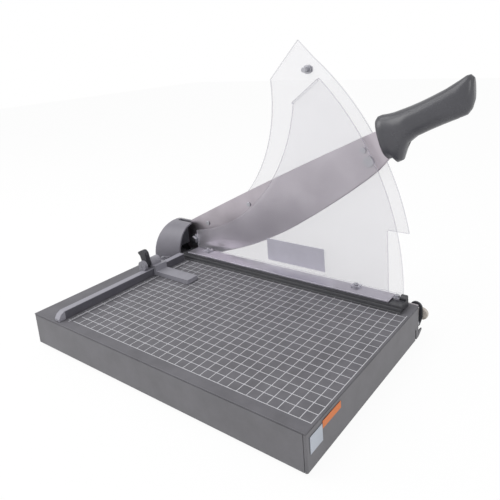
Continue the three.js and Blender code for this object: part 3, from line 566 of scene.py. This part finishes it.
# The pale shade on the top and the nose is a painted highlight, not a second colour of the moulding.
fence_highlight_mix.inputs["B"].default_value = colour_of("#92919a")
fence_tree.links.new(painted_highlight_faces, fence_highlight_mix.inputs["Factor"])
fence_tree.links.new(fence_skin.inputs["Base Color"].links[0].from_socket, fence_highlight_mix.inputs["A"])
fence_tree.links.new(fence_highlight_mix.outputs["Result"], fence_skin.inputs["Base Color"])
fence = drawn_from("fence", "squaring_fence")
edged(fence, 0.0007, segments=3, angle=15)
finish(fence, fence_plastic, "base", "fence_plastic", "fence")
zinc_fittings("base", "fence_screw_front", "fence_screw_rear", width=0.00025)


# ---------- the pivot ----------
# A black steel bracket is screwed to the tray's rear wall. One bolt goes through the arm and
# the bracket, with a steel washer, a friction washer and a nut, and holds the arm by friction.

black_paint = coated("black_enamel", "#37373b", 0.42, grain=1400, depth=0.00003)
black_plastic = coated("black_moulding", "#303035", 0.48, grain=1700, depth=0.00003)
bracket = drawn_from("pivot_bracket", "arm_bracket")
edged(bracket, 0.0004)
finish(bracket, black_paint, "base", "black_paint", "pivot_bracket")
friction = drawn_from("friction_washer", "friction_disc")
edged(friction, 0.0001, segments=1)
finish(friction, black_plastic, "base", "black_plastic", "friction_washer")
zinc_fittings(
    "base", "bracket_screw_1", "bracket_screw_2", "pivot_washer", "pivot_bolt", "pivot_nut",
)


# ---------- the pivot housing ----------
# A moulded grey arch covers the pivot. It is closed at its right end by a black cap in two
# parts, slotted for the blade, and a small screw in its ear holds it to the board.

housing_plastic = coated("housing_moulding", "#7a7880", 0.42, grain=1300, depth=0.00003, cloud=0.07)
housing = drawn_from("housing_cover", "pivot_housing")
edged(housing, 0.0008, segments=3, angle=40)
finish(housing, housing_plastic, "base", "housing_plastic", "housing_cover")
for name in ("housing_end_cap_front", "housing_end_cap_rear"):
    cap = drawn_from(name, name + "_moulding")
    edged(cap, 0.0004, angle=40)
    finish(cap, black_plastic, "base", "black_plastic", name)


def cross_cut(screw, centre, axis, reach, depth):
    """Presses a cross recess into the outer end of a screw's head."""
    for long_side in (0, 1):
        half = [0.0004, 0.0004, 0.0004]
        across = [i for i in range(3) if i != axis]
        half[across[long_side]] = reach
        half[axis] = depth
        carve(screw, block(
            "recess",
            [c - h for c, h in zip(centre, half)],
            [c + h for c, h in zip(centre, half)],
        ))


def screw_from(name, body, axis, end):
    """A plated screw drawn from its node, with a cross recess in the head at one end."""
    low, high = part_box(name)
    screw = drawn_from(name, name + "_zinc")
    middle = [(a + b) / 2 for a, b in zip(low, high)]
    middle[axis] = (low, high)[end][axis]
    across = min(high[i] - low[i] for i in range(3) if i != axis)
    cross_cut(screw, middle, axis, across * 0.3, 0.0008)
    edged(screw, 0.00025)
    finish(screw, zinc, body, "zinc_steel", name)


screw_from("housing_screw", "base", 2, 1)


# ---------- the paper clamp ----------
# A black steel bar with a grooved front face rides on two guide pins and presses the sheets
# through a rubber pad. A pale aluminium strip covers it, with a moulded block at its end.

strip_metal = metal("satin_aluminium", "#bcb9c2", 0.42, drag=(5, 700, 700))
pad_rubber = coated("pad_rubber", "#222224", 0.8, grain=2400, depth=0.00005, cloud=0.2)
clamp_bar = drawn_from("clamp_bar", "grooved_clamp_bar")
edged(clamp_bar, 0.0003, angle=25)
finish(clamp_bar, black_paint, "clamp", "black_paint", "clamp_bar")
clamp_strip = drawn_from("clamp_strip", "clamp_top_strip")
edged(clamp_strip, 0.0005, segments=3)
finish(clamp_strip, strip_metal, "clamp", "aluminium", "clamp_strip")
clamp_pad = drawn_from("clamp_pad", "clamp_rubber_pad")
edged(clamp_pad, 0.0003)
finish(clamp_pad, pad_rubber, "clamp", "rubber", "clamp_pad")
end_block = drawn_from("clamp_end_block", "clamp_end_moulding")
edged(end_block, 0.0006, segments=3)
finish(end_block, black_plastic, "clamp", "black_plastic", "clamp_end_block")
zinc_fittings("base", "clamp_guide_left", "clamp_guide_right")


# ---------- the clear guards ----------
# Two fans of clear acrylic sheet, 2.6 mm thick, stand in front of the blade and behind it.
# The sheets are nearly unseen, and their polished rims are painted denser and greyer: painted
# shade that stands in for the refraction and inner reflection that darken a sheet's edges.
# Each has three screws.


def acrylic(name, shade, alpha):
    material = bpy.data.materials.new(name)
    material.use_nodes = True
    tree = material.node_tree
    skin = tree.nodes["Principled BSDF"]
    skin.inputs["Base Color"].default_value = colour_of(shade)
    skin.inputs["Alpha"].default_value = alpha
    skin.inputs["IOR"].default_value = 1.49
    place = tree.nodes.new("ShaderNodeTexCoord").outputs["Object"]
    haze = add_node(tree, "ShaderNodeTexNoise", Scale=22.0, Detail=4.0)
    tree.links.new(place, haze.inputs["Vector"])
    smear = add_node(tree, "ShaderNodeMapRange")
    smear.inputs["To Min"].default_value = 0.05
    smear.inputs["To Max"].default_value = 0.18
    tree.links.new(haze.outputs["Fac"], smear.inputs["Value"])
    tree.links.new(smear.outputs["Result"], skin.inputs["Roughness"])
    ripple = add_node(tree, "ShaderNodeBump", Strength=0.15, Distance=0.00004)
    tree.links.new(haze.outputs["Fac"], ripple.inputs["Height"])
    tree.links.new(ripple.outputs["Normal"], skin.inputs["Normal"])
    return material


sheet_alpha = 0.14
rim_shade_alpha = 0.5
clear_sheet = acrylic("acrylic_sheet", "#d4d2da", sheet_alpha)
# The rims' greyer colour and higher alpha are painted shade for the light bent and reflected inside the
# sheet.
shaded_clear_rim = acrylic("acrylic_rim_painted_shade", "#b9b7c2", rim_shade_alpha)
for node, name, body in (
    ("front_guard", "clear_front_guard", "clamp"),
    ("rear_guard", "clear_rear_guard", "base"),
):
    guard = drawn_from(node, name)
    edged(guard, 0.0003, segments=1, angle=40)
    finish(guard, clear_sheet, body, "clear_guard", node)
    guard.data.materials.append(shaded_clear_rim)
    for face in guard.data.polygons:
        face.material_index = 0 if abs(face.normal.y) > 0.9 else 1
for name in ("front_guard_screw_1", "front_guard_screw_2", "front_guard_screw_3"):
    screw_from(name, "clamp", 2, 1)
for name in ("rear_guard_screw_1", "rear_guard_screw_2", "rear_guard_screw_3"):
    screw_from(name, "base", 1, 1)
zinc_fittings("base", "rear_guard_spacer", "arm_stop_pin")

label_paper = coated("plain_guard_label", "#b9b7c2", 0.55, grain=700, depth=0.00001, cloud=0.05)
guard_label = drawn_from("guard_label", "plain_guard_label")
edged(guard_label, 0.0001, segments=1)
finish(guard_label, label_paper, "clamp", "label_grey", "guard_label")


# ---------- the cutting arm ----------
# The blade is 2.5 mm tool steel, brushed along its length, with its edge ground on the front.
# Two screws and a tang carry the grip, and two rivets are set through the blade.

arm_turn = 28
blade_steel = metal("brushed_blade_steel", "#beb7be", 0.34, turn=arm_turn, drag=(5, 700, 700))
blade_low, blade_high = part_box("blade")
blade = drawn_from("blade", "curved_blade")
pivot_low, pivot_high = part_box("pivot_bolt")
pivot_x = (pivot_low.x + pivot_high.x) / 2
pivot_z = (pivot_low.z + pivot_high.z) / 2
lift = math.radians(arm_turn)


def level(point):
    """A point's place along and across the arm, as if the arm were level."""
    x = point.x - pivot_x
    z = point.z - pivot_z
    return (
        x * math.cos(lift) + z * math.sin(lift),
        -x * math.sin(lift) + z * math.cos(lift),
    )


def on_cutting_edge(a, b):
    front = max(a.y, b.y) < blade_low.y + 0.0002
    return front and all(level(p)[0] > 0.046 and level(p)[1] < -0.015 for p in (a, b))


select_edges(blade, on_cutting_edge)
ground_width = 0.0019
bpy.ops.mesh.bevel(offset=ground_width, segments=1)
bpy.ops.object.mode_set(mode="OBJECT")
edged(blade, 0.00015, segments=1, angle=50)
finish(blade, blade_steel, "arm", "blade_steel", "blade")
tang = drawn_from("handle_tang", "grip_tang")
edged(tang, 0.0003)
finish(tang, zinc, "arm", "zinc_steel", "handle_tang")
zinc_fittings(
    "arm", "blade_screw_upper", "blade_screw_lower", "blade_rivet_1", "blade_rivet_2",
    width=0.0004, segments=3,
)
zinc_fittings("arm", "handle_screw_1", "handle_screw_2")


# ---------- the grip ----------
# Two moulded halves in dark grey plastic close round the tang. The skin is satin with a fine
# grain, and the halves meet in a thin line.

grip_plastic = coated("grip_moulding", "#47474c", 0.27, grain=1500, depth=0.00002, cloud=0.08)
notch_radius = 0.0015
notch_places = ((0.463, -0.0125), (0.473, -0.0127), (0.483, -0.0131), (0.493, -0.0137))


def finger_notch(along, across):
    """A round bar laid across the underside of the grip, to be cut out of it."""
    bpy.ops.object.select_all(action="DESELECT")
    bpy.ops.mesh.primitive_cylinder_add(
        vertices=20, radius=notch_radius, depth=0.06, rotation=(math.radians(90), 0, 0),
        location=(
            pivot_x + along * math.cos(lift) - across * math.sin(lift),
            (blade_low.y + blade_high.y) / 2,
            pivot_z + along * math.sin(lift) + across * math.cos(lift),
        ),
    )
    bpy.ops.object.transform_apply(location=True, rotation=True)
    return bpy.context.object


for node, name in (("handle_front", "grip_front_half"), ("handle_rear", "grip_rear_half")):
    half = drawn_from(node, name)
    carve(half, *[finger_notch(*place) for place in notch_places])
    lone(half)
    bpy.ops.object.shade_smooth_by_angle(angle=math.radians(38))
    apply_modifier(half, "WEIGHTED_NORMAL", keep_sharp=True, weight=60)
    finish(half, grip_plastic, "arm", "handle_plastic", node)


# ---------- the paper stop ----------
# A moulded bar straddles the fence and slides along it. A lever on a steel axle locks it.

stop_plastic = coated("stop_moulding", "#8b8a92", 0.42, grain=1200, depth=0.00003, cloud=0.06)
paper_stop = drawn_from("paper_stop", "sliding_paper_stop")
edged(paper_stop, 0.0006, segments=3)
finish(paper_stop, stop_plastic, "paper_stop", "stop_plastic", "paper_stop")
axle = drawn_from("stop_axle", "lever_axle")
edged(axle, 0.0003)
finish(axle, zinc, "paper_stop", "zinc_steel", "stop_axle")
lever = drawn_from("stop_lever", "locking_lever")
edged(lever, 0.0008, segments=3)
finish(lever, black_plastic, "stop_lever", "black_plastic", "stop_lever")


# ---------- the latch ----------
# A black hook swings on a pin at the right rear corner and holds the closed arm. A round
# pale knob is pressed on it to turn it by.

hook = drawn_from("latch_hook", "safety_hook")
edged(hook, 0.0005, segments=2)
finish(hook, black_plastic, "latch", "black_plastic", "latch_hook")
knob_plastic = coated("knob_moulding", "#c2bab2", 0.42, grain=1300, depth=0.00003, cloud=0.07)
knob = drawn_from("latch_knob", "hook_knob")
edged(knob, 0.0011, segments=4)
finish(knob, knob_plastic, "latch", "knob_plastic", "latch_knob")
pin = drawn_from("latch_pin", "hook_pin")
edged(pin, 0.0003)
finish(pin, zinc, "base", "zinc_steel", "latch_pin")


# ---------- the side stickers ----------
# Two printed stickers are stuck to the right wall. They are left plain.

grey_sticker = coated("grey_sticker", "#b2b8c2", 0.55, grain=600, depth=0.00001, cloud=0.05)
orange_sticker = coated("orange_sticker", "#d3763c", 0.55, grain=600, depth=0.00001, cloud=0.05)
for node, name, paper, slot in (
    ("side_label", "side_square_sticker", grey_sticker, "label_grey"),
    ("side_strip", "side_orange_sticker", orange_sticker, "label_orange"),
):
    sticker = drawn_from(node, name)
    edged(sticker, 0.0001, segments=1)
    finish(sticker, paper, "base", slot, node)
